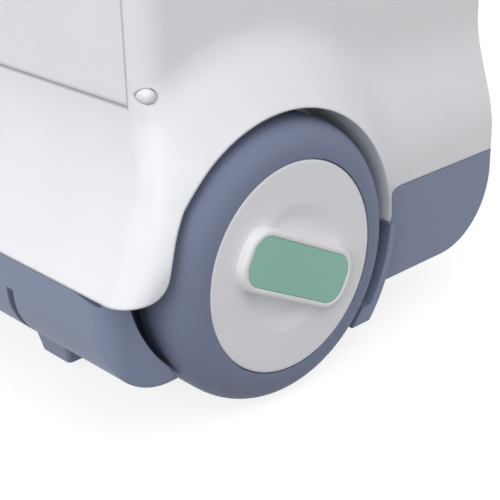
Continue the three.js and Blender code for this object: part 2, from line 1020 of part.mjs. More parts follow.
// The latch: a knob and shaft through the door, and a tongue screwed on behind
function latchKnob() {
  const front = -doorRimDepth - seamGap - tongueThick;
  const bar = alongX(
    pill(knobHalfLength, knobHalfWidth),
    seamGap,
    seamGap + knobThick,
    knobRound,
  );
  return bar.add(rod("x", latchShaftRadius, front, seamGap + knobRound, 0, 0));
}

function latchTongue() {
  const back = -doorRimDepth - seamGap;
  const bar = alongX(pill(tongueLength / 2, tongueHalfWidth), back - tongueThick, back);
  const offset = tongueLength / 2 - tongueHalfWidth;
  const bore = rod(
    "x",
    latchShaftRadius + boreGap,
    back - tongueThick - overrun,
    back + overrun,
    0,
    0,
  );
  return bar.translate([0, offset, 0]).subtract(bore);
}

// The cabinet's floor, which lies on the shell's ledges behind the sill
function cabinetFloor() {
  const half = bodyHalf - wall - slipGap;
  const front = upperFrontY + sillLedge + seamGap;
  const rear = upperRearY - wall - slipGap;
  const low = sillHeight - floorThick;
  const outline = plate(half, front, rear, tubFrontCorner, bodyCorner - wall);
  const sleeveHole = rod(
    "z",
    sleeveRadius + seamGap,
    low - overrun,
    sillHeight + overrun,
    tubeX,
    tubeY,
  );
  return alongZ(outline, low, sillHeight).subtract(bothSides(sleeveHole));
}

// A lipped shelf on the shell's side ribs
function shelf() {
  const half = bodyHalf - wall - slipGap;
  const front = upperFrontY + shelfFromFront;
  const rear = front + shelfDepth;
  const tray = block(-half, half, front, rear, shelfHeight, shelfHeight + shelfLip);
  const hollow = block(
    shelfThick - half,
    half - shelfThick,
    front + shelfThick,
    rear - shelfThick,
    shelfHeight + shelfThick,
    shelfHeight + shelfLip + overrun,
  );
  return tray.subtract(hollow);
}

// A guide tube that stands on the tub and runs up through the floor to the pocket in the top
function handleSleeve() {
  const low = undersideHeight + sleeveSeatHeight + seamGap;
  const high = pocketFloor - wall - seamGap;
  return rod("z", sleeveRadius, low, high, 0, 0).subtract(
    rod("z", tubeRadius + tubeGap, low - overrun, high + overrun, 0, 0),
  );
}

function handleTube() {
  const high = pocketFloor + seamGap + gripSocketDepth - seamGap;
  const low = high - tubeLength;
  return rod("z", tubeRadius, low, high, 0, 0).subtract(
    rod("z", tubeRadius - tubeWall, low - overrun, high + overrun, 0, 0),
  );
}

// The pull handle's grip, with sockets for the tubes and a well for its button
function handleGrip() {
  const base = pocketFloor + seamGap;
  const middle = base + gripHeight / 2;
  const section = new THREE.Shape();
  const side = gripDepth / 2 - gripRound;
  const rise = gripHeight / 2 - gripRound;
  section.absarc(side, middle + rise, gripRound, 0, Math.PI / 2, false);
  section.absarc(-side, middle + rise, gripRound, Math.PI / 2, Math.PI, false);
  section.lineTo(-gripDepth / 2, base);
  section.lineTo(gripDepth / 2, base);
  section.closePath();
  const bar = alongX(section, -gripHalf, gripHalf, badgeRound);
  const socket = rod(
    "z",
    tubeRadius + boreGap,
    base - overrun,
    base + gripSocketDepth,
    tubeX,
    0,
  );
  const top = base + gripHeight;
  const well = alongZ(
    pill(buttonHalfLength + seamGap, buttonHalfWidth + seamGap),
    top + buttonProud - buttonThick - buttonTravel - slipGap,
    top + overrun,
  );
  return cutFrom(bar, bothSides(socket), well);
}

function handleButton() {
  const top = pocketFloor + seamGap + gripHeight + buttonProud;
  const outline = pill(buttonHalfLength, buttonHalfWidth);
  return alongZ(outline, top - buttonThick, top, badgeRound);
}

// Plastics and metals
const white = { color: 0xeeeef0, roughness: 0.38, metalness: 0 };
const greyBlue = { color: 0x76809f, roughness: 0.5, metalness: 0 };
const softGreyBlue = { color: 0x727b9a, roughness: 0.62, metalness: 0 };
const capWhite = { color: 0xd9d9de, roughness: 0.42, metalness: 0 };
const teal = { color: 0x72a894, roughness: 0.45, metalness: 0 };
const steel = { color: 0xb9bcc2, roughness: 0.3, metalness: 1 };
const innerGrey = { color: 0xc9ccd4, roughness: 0.5, metalness: 0 };

function piece(name, body, finish) {
  const mesh = new THREE.Mesh(geometryOf(body), new THREE.MeshStandardMaterial(finish));
  mesh.name = name;
  return mesh;
}

const station = new THREE.Group();
station.name = "toy_medical_station";

// Casings
station.add(piece("body_shell", bodyShell(), white));
station.add(piece("base_tub", baseTub(), greyBlue));
station.add(piece("cabinet_floor", cabinetFloor(), innerGrey));
station.add(piece("shelf", shelf(), teal));

// Feet and screws, in front and at the rear on both sides
for (const [row, index] of [
  ["front", 0],
  ["rear", 1],
]) {
  const [footY, sole] = footPlaces[index];
  const [screwX, screwY] = postPlaces[index];
  for (const [side, sign] of [
    ["right", 1],
    ["left", -1],
  ]) {
    const footMesh = piece(`${row}_foot_${side}`, foot(sole), greyBlue);
    footMesh.position.set(sign * footX, footY, 0);
    const screwMesh = piece(`${row}_screw_${side}`, tubScrew(), steel);
    screwMesh.position.set(sign * screwX, screwY, 0);
    station.add(footMesh, screwMesh);
  }
}

// Axle and wheels: the left wheel is the right one turned about
const axleMesh = piece("axle", axle(), steel);
axleMesh.position.set(0, axleY, axleZ);
station.add(axleMesh);
for (const [side, turn] of [
  ["right", 0],
  ["left", Math.PI],
]) {
  const wheel = new THREE.Group();
  wheel.position.set(0, axleY, axleZ);
  wheel.rotation.z = turn;
  wheel.add(piece(`tyre_${side}`, tyre(), softGreyBlue));
  wheel.add(piece(`rim_${side}`, rim(), innerGrey));
  wheel.add(piece(`hub_cap_${side}`, hubCap(), capWhite));
  const badge = new THREE.Group();
  badge.rotation.x = -THREE.MathUtils.degToRad(badgeTiltDegrees);
  badge.add(piece(`badge_bar_${side}`, badgeBar(), white));
  badge.add(piece(`badge_plate_${side}`, badgePlate(), teal));
  wheel.add(badge);
  wheel.add(piece(`axle_nut_${side}`, axleNut(), steel));
  station.add(wheel);
}

// Door, hinge pins and latch
station.add(piece("front_door", frontDoor(), white));
for (const [side, turn] of [
  ["right", 0],
  ["left", Math.PI],
]) {
  const pin = piece(`hinge_pin_${side}`, hingePin(), white);
  pin.position.set(0, hingeY, hingeZ);
  pin.rotation.z = turn;
  station.add(pin);
}
const latch = new THREE.Group();
latch.position.set(0, upperFrontY, doorTop - latchFromTop);
latch.rotation.z = -Math.PI / 2;
latch.add(piece("latch_knob", latchKnob(), teal));
latch.add(piece("latch_tongue", latchTongue(), innerGrey));
station.add(latch);

// Pull handle
for (const [side, sign] of [
  ["right", 1],
  ["left", -1],
]) {
  const sleeve = piece(`handle_sleeve_${side}`, handleSleeve(), innerGrey);
  sleeve.position.set(sign * tubeX, tubeY, 0);
  station.add(sleeve);
  const tube = piece(`handle_tube_${side}`, handleTube(), steel);
  tube.position.set(sign * tubeX, tubeY, 0);
  station.add(tube);
}
const grip = piece("handle_grip", handleGrip(), greyBlue);
grip.position.y = tubeY;
station.add(grip);
const button = piece("handle_button", handleButton(), teal);
button.position.y = tubeY;
station.add(button);

export default station;
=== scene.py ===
from math import atan2, cos, degrees, hypot, pi, radians, sin, sqrt

import bmesh
import bpy
from mathutils import Matrix, Vector


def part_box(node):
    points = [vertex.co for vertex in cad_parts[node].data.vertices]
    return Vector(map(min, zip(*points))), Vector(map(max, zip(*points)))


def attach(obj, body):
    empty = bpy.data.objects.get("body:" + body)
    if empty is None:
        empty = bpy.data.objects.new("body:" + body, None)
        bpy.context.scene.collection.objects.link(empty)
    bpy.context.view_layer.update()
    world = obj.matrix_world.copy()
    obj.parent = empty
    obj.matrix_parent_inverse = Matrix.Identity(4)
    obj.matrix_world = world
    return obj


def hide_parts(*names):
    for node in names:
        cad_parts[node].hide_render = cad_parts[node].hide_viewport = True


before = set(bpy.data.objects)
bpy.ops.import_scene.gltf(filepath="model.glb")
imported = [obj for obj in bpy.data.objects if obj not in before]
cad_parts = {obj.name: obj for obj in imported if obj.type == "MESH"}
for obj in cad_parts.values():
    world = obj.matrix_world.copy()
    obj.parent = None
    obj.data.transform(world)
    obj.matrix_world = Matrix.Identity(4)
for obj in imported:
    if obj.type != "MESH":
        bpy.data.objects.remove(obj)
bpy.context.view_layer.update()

scene = bpy.context.scene

# ---- Camera
# A lens of about 89 mm looks down on the lower front corner from the wheel's side.
# Its place and turn come from the ellipse of the hub and from the straight edges of tub and door.
azimuth, elevation, roll = radians(47.19), radians(24.27), radians(-1.416)
backward = Vector(
    (sin(azimuth) * cos(elevation), -cos(azimuth) * cos(elevation), sin(elevation))
)
level_right = Vector((cos(azimuth), sin(azimuth), 0))
level_up = backward.cross(level_right)
right = level_right * cos(roll) + level_up * sin(roll)
up = level_up * cos(roll) - level_right * sin(roll)
lens = bpy.data.cameras.new("photo_lens")
lens.lens = 88.74
lens.sensor_width = 36
lens.clip_start = 0.05
lens.clip_end = 20
camera = bpy.data.objects.new("photo_camera", lens)
camera.matrix_world = Matrix.Translation((0.4424, -0.3117, 0.2416)) @ Matrix(
    (right, up, backward)
).transposed().to_4x4()
scene.collection.objects.link(camera)
scene.camera = camera

# ---- Studio
# A white room gives even light, and three soft lamps stand in front, to the right and above.
# The floor is a plain white sheet that gives back a little of its light and keeps a faint shadow.
scene.view_settings.view_transform = "Standard"


def added(tree, kind, inputs=None, **settings):
    """A new node with its settings, and the values of inputs that nothing is linked to"""
    node = tree.nodes.new(kind)
    for label, value in settings.items():
        setattr(node, label, value)
    for label, value in (inputs or {}).items():
        node.inputs[label].default_value = value
    return node


def linked(tree, *pairs):
    """Links each pair of an output and an input"""
    for output, end in pairs:
        tree.links.new(output, end)


def seen_directly(tree):
    """A value that is 1 for rays from the camera, a reflection or a pane, and 0 for lighting"""
    ray = added(tree, "ShaderNodeLightPath")
    total = ray.outputs["Is Camera Ray"]
    for label in ("Is Glossy Ray", "Is Transmission Ray"):
        larger = added(tree, "ShaderNodeMath", operation="MAXIMUM")
        linked(tree, (total, larger.inputs[0]), (ray.outputs[label], larger.inputs[1]))
        total = larger.outputs[0]
    return total


room = bpy.data.worlds.new("white_room")
room.use_nodes = True
room_tree = room.node_tree
room_tree.nodes.clear()
room_light = added(
    room_tree, "ShaderNodeBackground", {"Color": (0.99, 0.995, 1, 1), "Strength": 0.67}
)
room_seen = added(room_tree, "ShaderNodeBackground", {"Color": (1, 1, 1, 1), "Strength": 1})
room_mix = added(room_tree, "ShaderNodeMixShader")
room_out = added(room_tree, "ShaderNodeOutputWorld")
linked(
    room_tree,
    (seen_directly(room_tree), room_mix.inputs[0]),
    (room_light.outputs[0], room_mix.inputs[1]),
    (room_seen.outputs[0], room_mix.inputs[2]),
    (room_mix.outputs[0], room_out.inputs["Surface"]),
)
scene.world = room


def lamp(name, place, target, size, power):
    """A square soft lamp that points at the target"""
    data = bpy.data.lights.new(name, "AREA")
    data.shape = "SQUARE"
    data.size = size
    data.energy = power
    made = bpy.data.objects.new(name, data)
    made.location = place
    made.rotation_euler = (
        (Vector(target) - Vector(place)).to_track_quat("-Z", "Y").to_euler()
    )
    scene.collection.objects.link(made)


aim = (0.05, 0, 0.12)
lamp("key_lamp", (0.84, -1.58, 0.8), aim, 0.8, 8.5)
lamp("top_lamp", (1.0, -0.2, 1.7), aim, 1.2, 5.5)
lamp("front_lamp", (-0.3, -1.7, 0.9), aim, 1.0, 4)

floor_form = bmesh.new()
bmesh.ops.create_grid(floor_form, x_segments=1, y_segments=1, size=4)
floor_mesh = bpy.data.meshes.new("studio_floor")
floor_form.to_mesh(floor_mesh)
floor_form.free()
floor = bpy.data.objects.new("studio_floor", floor_mesh)
scene.collection.objects.link(floor)
floor_paint = bpy.data.materials.new("studio_floor_paint")
floor_paint.use_nodes = True
floor_tree = floor_paint.node_tree
floor_dull = floor_tree.nodes["Principled BSDF"]
floor_dull.inputs["Roughness"].default_value = 0.9
floor_dull.inputs["Specular IOR Level"].default_value = 0.1
floor_dull.inputs["Base Color"].default_value = (0.2, 0.2, 0.2, 1)
floor_shade = added(floor_tree, "ShaderNodeBsdfDiffuse", {"Color": (0.31, 0.31, 0.31, 1)})
floor_glow = added(floor_tree, "ShaderNodeEmission", {"Strength": 0.81})
floor_seen = added(floor_tree, "ShaderNodeAddShader")
floor_mix = added(floor_tree, "ShaderNodeMixShader")
floor_end = floor_tree.nodes["Material Output"]
linked(
    floor_tree,
    (floor_shade.outputs[0], floor_seen.inputs[0]),
    (floor_glow.outputs[0], floor_seen.inputs[1]),
    (seen_directly(floor_tree), floor_mix.inputs[0]),
    (floor_dull.outputs[0], floor_mix.inputs[1]),
    (floor_seen.outputs[0], floor_mix.inputs[2]),
    (floor_mix.outputs[0], floor_end.inputs["Surface"]),
)
floor_mesh.materials.append(floor_paint)

# ---- White body shell
# One large injection moulding of satin white plastic, with both fenders and the wheel housings.
# It stands on the tub's rim and is screwed to it from below, so no screw shows outside.


def new_group(name, takes, gives):
    """An empty node group with the named sockets, and its two end nodes"""
    tree = bpy.data.node_groups.new(name, "ShaderNodeTree")
    for label, kind, start in takes:
        socket = tree.interface.new_socket(name=label, in_out="INPUT", socket_type=kind)
        socket.default_value = start
    for label, kind in gives:
        tree.interface.new_socket(name=label, in_out="OUTPUT", socket_type=kind)
    return tree, tree.nodes.new("NodeGroupInput"), tree.nodes.new("NodeGroupOutput")


# A moulding is not quite one colour: the flow of the melt leaves wide, faint clouds
clouds, clouds_in, clouds_out = new_group(
    "Melt Clouds",
    [
        ("Colour", "NodeSocketColor", (0.8, 0.8, 0.8, 1)),
        ("Roughness", "NodeSocketFloat", 0.4),
        ("Amount", "NodeSocketFloat", 0.04),
    ],
    [("Colour", "NodeSocketColor"), ("Roughness", "NodeSocketFloat")],
)
cloud_place = added(clouds, "ShaderNodeTexCoord")
cloud_noise = added(
    clouds, "ShaderNodeTexNoise", {"Scale": 22, "Detail": 3, "Roughness": 0.55}
)
cloud_span = added(
    clouds, "ShaderNodeMapRange", {"From Min": 0.3, "From Max": 0.7, "To Min": -1}
)
cloud_step = added(clouds, "ShaderNodeMath", {2: 1}, operation="MULTIPLY_ADD")
cloud_tint = added(clouds, "ShaderNodeVectorMath", operation="SCALE")
cloud_gloss = added(clouds, "ShaderNodeMath", operation="MULTIPLY")
linked(
    clouds,
    (cloud_place.outputs["Object"], cloud_noise.inputs["Vector"]),
    (cloud_noise.outputs[0], cloud_span.inputs["Value"]),
    (cloud_span.outputs[0], cloud_step.inputs[0]),
    (clouds_in.outputs["Amount"], cloud_step.inputs[1]),
    (clouds_in.outputs["Colour"], cloud_tint.inputs[0]),
    (cloud_step.outputs[0], cloud_tint.inputs["Scale"]),
    (cloud_tint.outputs[0], clouds_out.inputs["Colour"]),
    (clouds_in.outputs["Roughness"], cloud_gloss.inputs[0]),
    (cloud_step.outputs[0], cloud_gloss.inputs[1]),
    (cloud_gloss.outputs[0], clouds_out.inputs["Roughness"]),
)

# The mould's surface is spark-eroded, which prints a fine pebble grain on the plastic
grain, grain_in, grain_out = new_group(
    "Spark Grain",
    [("Size", "NodeSocketFloat", 2600.0)],
    [("Height", "NodeSocketFloat")],
)
grain_place = added(grain, "ShaderNodeTexCoord")
grain_noise = added(grain, "ShaderNodeTexNoise", {"Detail": 2})
grain_cells = added(grain, "ShaderNodeTexVoronoi", feature="SMOOTH_F1")
grain_sum = added(grain, "ShaderNodeMath", operation="ADD")
linked(
    grain,
    (grain_place.outputs["Object"], grain_noise.inputs["Vector"]),
    (grain_place.outputs["Object"], grain_cells.inputs["Vector"]),
    (grain_in.outputs["Size"], grain_noise.inputs["Scale"]),
    (grain_in.outputs["Size"], grain_cells.inputs["Scale"]),
    (grain_noise.outputs[0], grain_sum.inputs[0]),
    (grain_cells.outputs["Distance"], grain_sum.inputs[1]),
    (grain_sum.outputs[0], grain_out.inputs["Height"]),
)


def plastic(name, colour, roughness, size=2600.0, depth=0.02, edge=0.0008):
    """Moulded plastic: clouded tone and gloss, a pebble grain, and edges that catch a soft light"""
    material = bpy.data.materials.new(name)
    material.use_nodes = True
    tree = material.node_tree
    shader = tree.nodes["Principled BSDF"]
    shader.inputs["IOR"].default_value = 1.47
    tone = added(tree, "ShaderNodeGroup", node_tree=clouds)
    for label, value in (("Colour", colour), ("Roughness", roughness), ("Amount", 0.02)):
        tone.inputs[label].default_value = value
    pebbles = added(tree, "ShaderNodeGroup", node_tree=grain)
    pebbles.inputs["Size"].default_value = size
    round_edge = added(tree, "ShaderNodeBevel", {"Radius": edge}, samples=6)
    bump = added(tree, "ShaderNodeBump", {"Strength": depth, "Distance": 0.0004})
    linked(
        tree,
        (tone.outputs["Colour"], shader.inputs["Base Color"]),
        (tone.outputs["Roughness"], shader.inputs["Roughness"]),
        (pebbles.outputs["Height"], bump.inputs["Height"]),
        (round_edge.outputs["Normal"], bump.inputs["Normal"]),
        (bump.outputs["Normal"], shader.inputs["Normal"]),
    )
    return material


def finished(form, name, material, body, crease=32):
    """Turns a bmesh into a smooth-shaded piece with crisp creases, riding on its body"""
    bmesh.ops.recalc_face_normals(form, faces=form.faces[:])
    for face in form.faces:
        face.smooth = True
    for line in form.edges:
        line.smooth = line.calc_face_angle(pi) < radians(crease)
    mesh = bpy.data.meshes.new(name)
    form.to_mesh(mesh)
    form.free()
    mesh.materials.append(material)
    piece = bpy.data.objects.new(name, mesh)
    scene.collection.objects.link(piece)
    weighted = piece.modifiers.new("weighted_normals", "WEIGHTED_NORMAL")
    weighted.keep_sharp = True
    weighted.weight = 60
    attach(piece, body)
    return piece


merge_distance = 0.000004


def moulded(node, name, material, body):
    """A smooth copy of a CAD piece, with its flat facets merged"""
    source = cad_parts[node]
    form = bmesh.new()
    form.from_mesh(source.data)
    form.transform(source.matrix_world)
    bmesh.ops.remove_doubles(form, verts=form.verts[:], dist=merge_distance)
    bmesh.ops.dissolve_limit(
        form, angle_limit=radians(0.3), verts=form.verts[:], edges=form.edges[:]
    )
    piece = finished(form, name, material, body)
    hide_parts(node)


def share(value, low, high, start, end):
    """The value between start and end that stands where this one stands between low and high"""
    part = min(max((value - low) / (high - low), 0), 1)
    return start + (end - start) * part


def eased(value, low, high, start, end):
    """The same share, with a soft start and a soft end"""
    part = share(value, low, high, 0, 1)
    return start + (end - start) * part * part * (3 - 2 * part)


def drawn_up(levels):
    """A closed solid skinned over level rings of points, all with as many points"""
    form = bmesh.new()
    loops = []
    for level in levels:
        ring = [form.verts.new(point) for point in level]
        loops.append([form.edges.new(pair) for pair in zip(ring, ring[1:] + ring[:1])])
    for below, above in zip(loops, loops[1:]):
        bmesh.ops.bridge_loops(form, edges=below + above)
    bmesh.ops.contextual_create(form, geom=loops[0])
    bmesh.ops.contextual_create(form, geom=loops[-1])
    bmesh.ops.recalc_face_normals(form, faces=form.faces[:])
    return form


def block(x0, x1, y0, y1, z0, z1):
    """A box between two corners, in millimetres"""
    form = bmesh.new()
    bmesh.ops.create_cube(form, size=1)
    bmesh.ops.scale(form, vec=(x1 - x0, y1 - y0, z1 - z0), verts=form.verts[:])
    middle = ((x0 + x1) / 2, (y0 + y1) / 2, (z0 + z1) / 2)
    bmesh.ops.translate(form, vec=middle, verts=form.verts[:])
    return form


def rod(axis, radius, start, end, u, v, steps=48):
    """A cylinder along X, Y or Z from one place to another, in millimetres"""
    form = bmesh.new()
    bmesh.ops.create_cone(
        form,
        cap_ends=True,
        segments=steps,
        radius1=radius,
        radius2=radius,
        depth=end - start,
    )
    middle = (start + end) / 2
    turn, place = {
        "x": (Matrix.Rotation(pi / 2, 3, "Y"), (middle, u, v)),
        "y": (Matrix.Rotation(pi / 2, 3, "X"), (u, middle, v)),
        "z": (Matrix.Identity(3), (u, v, middle)),
    }[axis]
    bmesh.ops.rotate(form, cent=(0, 0, 0), matrix=turn, verts=form.verts[:])
    bmesh.ops.translate(form, vec=place, verts=form.verts[:])
    return form


def on_both_sides(form):
    """The solid and its mirror image about the middle plane"""
    bmesh.ops.mirror(form, geom=form.verts[:] + form.edges[:] + form.faces[:], axis="X")
    bmesh.ops.recalc_face_normals(form, faces=form.faces[:])
    return form


def worked(form, tool, work):
    """The solid after another is cut from it, joined to it, or kept as what both share"""
    pair = []
    for label, made in (("worked_piece", form), ("worked_tool", tool)):
        mesh = bpy.data.meshes.new(label)
        made.to_mesh(mesh)
        made.free()
        pair.append(bpy.data.objects.new(label, mesh))
        scene.collection.objects.link(pair[-1])
    piece, cutter = pair
    step = piece.modifiers.new("step", "BOOLEAN")
    step.object = cutter
    step.operation = work
    step.solver = "MANIFOLD"
    seen = piece.evaluated_get(bpy.context.evaluated_depsgraph_get())
    result = bmesh.new()
    result.from_mesh(seen.to_mesh())
    seen.to_mesh_clear()
    for spare in pair:
        mesh = spare.data
        bpy.data.objects.remove(spare)
        bpy.data.meshes.remove(mesh)
    return result


def cut(form, *tools):
    """The solid with each tool taken away"""
    for tool in tools:
        form = worked(form, tool, "DIFFERENCE")
    return form


def joined(form, *tools):
    """The solid with each tool joined to it"""
    for tool in tools:
        form = worked(form, tool, "UNION")
    return form


def shared(form, tool):
    """What the solid shares with the tool"""
    return worked(form, tool, "INTERSECT")


def in_metres(form):
    """Brings a form worked out in millimetres to metres, and merges what falls together"""
    bmesh.ops.scale(form, vec=(0.001, 0.001, 0.001), verts=form.verts[:])
    bmesh.ops.remove_doubles(form, verts=form.verts[:], dist=merge_distance)
    return form


# Sizes in millimetres, from the middle plane, the axle and the ground
front, rear, top, top_round = -104.3, 104.3, 400, 14
skirt_half, body_half, arch_lip, leg_half = 148, 140, 156, 158.5
upper_front, upper_rear = -76.9, 101
parting, flare_low, flare_top, sill, apron_hollow = 62, 70, 120, 118, 1.8
axle_y, axle_z = -28.9, 54
arch_radius, fender_radius, inside_arch, soft = 57.4, 80, 8, 4
leg_ends, leg_starts = 126, 150
wall, well_back, housing_wall, past_wheel = 2.4, 131, 2.2, 160
hinge_y, hinge_z = -72.9, 123.2
screw_x, screw_places = 112, (-88.8, 91.3)
sleeve_x, sleeve_y = 60, 80


def apron_front(height):
    """The apron sweeps out to the parting line in a hollow curve"""
    part = share(height, parting, sill, 1, 0)
    return upper_front + (front - upper_front) * part**apron_hollow


def side_at(y, z):
    """The side swells round the wheel to the arch's lip, and stays full on the leg before it"""
    plain = eased(z, flare_low, flare_top, skirt_half, body_half)
    radius = hypot(y - axle_y, z - axle_z)
    slope = (arch_lip - body_half) / (fender_radius - arch_radius)
    cone = arch_lip - slope * max(-inside_arch, radius - arch_radius)
    turn = degrees(atan2(z - axle_z, y - axle_y))
    swelling = cone + (leg_half - cone) * eased(turn, leg_ends, leg_starts, 0, 1)
    near = max(0, soft - abs(plain - swelling))
    return max(plain, swelling) + near**2 / (4 * soft)


def front_corner(height):
    """The front corner's radius is fullest half way down the leg"""
    low, full, high, full_height = 10, 20, 10.8, 88
    if height < full_height:
        return share(height, parting, full_height, low, full)
    return share(height, full_height, sill, full, high)


def quarter(steps):
    """The sine and cosine of even turns from 0 to 90 degrees"""
    turns = [radians(90) * i / steps for i in range(steps + 1)]
    return [(sin(turn), cos(turn)) for turn in turns]


def body_ring(height, inset, drawn_in, at_corner, at_side):
    """The body's outline at a height, as points from the front round to the rear and back"""
    shrink = inset + drawn_in
    start = apron_front(height) + shrink
    end = eased(height, flare_low, flare_top, rear, upper_rear) - shrink
    corner = front_corner(height) - inset
    rear_corner = 0.4 if inset else 2.2
    points = [(start + corner * (1 - c), corner * (1 - s)) for s, c in quarter(at_corner)]
    points += [
        (share(i, 0, at_side, start + corner, end - rear_corner), 0)
        for i in range(1, at_side + 1)
    ]
    points += [
        (end - rear_corner * (1 - s), rear_corner * (1 - c)) for s, c in quarter(8)[1:]
    ]
    half = [(side_at(y, height) - shrink - back, y) for y, back in points]
    ring = half + [(-x, y) for x, y in reversed(half)]
    return [(x, y, height) for x, y in ring]


def body_form(inset, bottom, rise, at_corner, at_side):
    """The whole body with its fenders, drawn in evenly, with a round edge at the top"""
    shoulder, rounding = top - top_round, top_round - inset
    steps = round((fender_radius + axle_z + 2 * soft - parting) / rise)
    heights = [bottom] + [parting + rise * i for i in range(steps + 1)] + [shoulder]
    rings = [body_ring(h, inset, 0, at_corner, at_side) for h in dict.fromkeys(heights)]
    # Eight rings round the edge off, and the last of them is laid level with the top
    for i in range(1, 9):
        turn = radians(90) * i / 8.5
        ring = body_ring(shoulder, inset, rounding * (1 - cos(turn)), at_corner, at_side)
        rings.append([(x, y, shoulder + rounding * sin(turn)) for x, y, _ in ring])
    rings[-1] = [(x, y, top - inset) for x, y, _ in rings[-1]]
    return drawn_up(rings)


# The outside, with the square tab that hangs behind each wheel, hollowed by the same form drawn in
tab_end, tab_low = axle_y + arch_radius + 4.8, 53
tab = shared(
    body_form(0, tab_low - 4, rise=3.5, at_corner=8, at_side=64),
    on_both_sides(block(skirt_half + 0.3, leg_half, axle_y, tab_end, tab_low, parting + 2)),
)
outside = joined(body_form(0, parting, rise=1.4, at_corner=16, at_side=96), tab)
hollow = cut(
    body_form(wall, parting - 2, rise=2.8, at_corner=8, at_side=48),
    on_both_sides(block(skirt_half - wall, leg_half, front, rear, 0, parting + wall)),
)

# What stays inside the hollow: the wheels' housings, the door's frame, ledges, the pins' bosses,
# the handle's pocket and the screws' posts
door_half, door_top, frame_depth, sill_depth = 131.5, 374, 9.8, 13
frame_half, frame_low, frame_high = door_half + wall, sill - wall, door_top + wall
frame_back, ledge_front = upper_front + frame_depth, upper_front + sill_depth
pocket_half, pocket_front, pocket_rear, pocket_floor = 73.5, 67.5, 92.5, 388
inner_half, ledge_reach, ledge_top = body_half - wall, 5, 115.3
ledge_edge = inner_half - ledge_reach
shelf_front, shelf_rear, shelf_ledge_top = -58.9, 69.1, 251.7
post_radius, post_top = 6, 100
pin_boss_radius, pin_bore, head_bore, head_from = 6.5, 2.65, 2.68, 131.6
posts = [
    on_both_sides(
        joined(
            rod("z", post_radius, parting, post_top, screw_x, y),
            block(
                screw_x - wall / 2, screw_x + wall / 2, min(y, end), max(y, end), parting, post_top
            ),
        )
    )
    for y, end in zip(screw_places, (front, rear))
]
inside = joined(
    on_both_sides(
        rod(
            "x",
            arch_radius + housing_wall,
            well_back - housing_wall,
            past_wheel,
            axle_y,
            axle_z,
            96,
        )
    ),
    on_both_sides(block(door_half, frame_half, upper_front, frame_back, frame_low, frame_high)),
    block(-door_half, door_half, upper_front, frame_back, door_top, frame_high),
    block(-frame_half, frame_half, upper_front, ledge_front, frame_low, sill),
    on_both_sides(
        block(ledge_edge, body_half, ledge_front, upper_rear, ledge_top - wall, ledge_top)
    ),
    block(
        -inner_half,
        inner_half,
        upper_rear - wall - ledge_reach,
        upper_rear,
        ledge_top - wall,
        ledge_top,
    ),
    on_both_sides(
        block(
            ledge_edge,
            body_half,
            shelf_front,
            shelf_rear,
            shelf_ledge_top - wall,
            shelf_ledge_top,
        )
    ),
    on_both_sides(rod("x", pin_boss_radius, door_half, body_half, hinge_y, hinge_z)),
    block(
        -pocket_half - wall,
        pocket_half + wall,
        pocket_front - wall,
        pocket_rear + wall,
        pocket_floor - wall,
        top,
    ),
    *posts,
)
shell = cut(outside, cut(hollow, inside))

# Then the doorway, the handle's pocket, the arches with their round tips, and the bores are cut
tip_radius, past_leg, tube_hole = 9, leg_half + 9.5, 5.4
reach, tip_z = arch_radius + tip_radius, parting + tip_radius
tip_y = axle_y - sqrt(reach**2 - (tip_z - axle_z) ** 2)
tip_meets = axle_z + (tip_z - axle_z) * arch_radius / reach
leg_corner = cut(
    block(well_back - housing_wall, past_leg, tip_y, axle_y, parting - 2, tip_meets),
    rod("x", tip_radius, well_back - 5, past_leg + 2, tip_y, tip_z, 96),
)
shell = cut(
    shell,
    block(-door_half, door_half, upper_front - 2, upper_front + wall + 2, sill, door_top),
    block(-pocket_half, pocket_half, pocket_front, pocket_rear, pocket_floor, top + 2),
    on_both_sides(rod("x", arch_radius, well_back, past_leg, axle_y, axle_z, 192)),
    on_both_sides(leg_corner),
    on_both_sides(
        rod("z", tube_hole, pocket_floor - 8, pocket_floor + 4, sleeve_x, sleeve_y)
    ),
    on_both_sides(rod("x", pin_bore, door_half - 4.5, head_from + 0.2, hinge_y, hinge_z)),
    on_both_sides(rod("x", head_bore, head_from, body_half + 2, hinge_y, hinge_z)),
)
white_plastic = plastic("white_plastic", (0.88, 0.885, 0.91, 1), 0.36, edge=0.0012)
white_shell = finished(
    in_metres(shell), "white_shell", white_plastic, "frame", crease=28
)
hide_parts("body_shell")

# ---- Tub
# The base is one tub of grey-blue plastic with a rounded front and rear, closed below.
# The wheel wells are moulded into it, and a thin wall stands behind each wheel.
grey_blue_plastic = plastic("grey_blue_plastic", (0.235, 0.275, 0.4, 1), 0.46)
underside, tub_top, front_round, rear_round = 22, 61.7, 26, 32
corner_round, rim_round, well_shift, tolerance = 8, 2, 2.2, 0.01


def edges_between(form, test):
    """The edges of a form whose two ends both pass a test"""
    return [line for line in form.edges if all(test(end.co) for end in line.verts)]


def bevelled(form, edges, offset, segments):
    """Rounds off edges with a true arc"""
    bmesh.ops.bevel(
        form,
        geom=edges,
        offset=offset,
        offset_type="OFFSET",
        segments=segments,
        profile=0.5,
        affect="EDGES",
        material=-1,
    )
    return form


def tub_end(inset, high, place, rounding):
    """The front or rear half of the tub's block, drawn in evenly, round below and at the sides"""
    half, low = skirt_half - inset, underside + inset
    overlap = 5
    middle = axle_y + (overlap if place < 0 else -overlap)
    place += inset if place < 0 else -inset
    form = block(-half, half, min(place, middle), max(place, middle), low, high + rim_round + 2)
    line = edges_between(
        form, lambda co: abs(co.y - place) < tolerance and co.z < low + tolerance
    )
    bevelled(form, line, rounding - inset, 24)
    if inset == 0:
        for side in (-half, half):
            edges = edges_between(form, lambda co: abs(co.x - side) < tolerance)
            outer = [e for e in edges if sum(abs(v.co.y - middle) for v in e.verts) > tolerance]
            bevelled(form, outer, rim_round, 8)
    return form


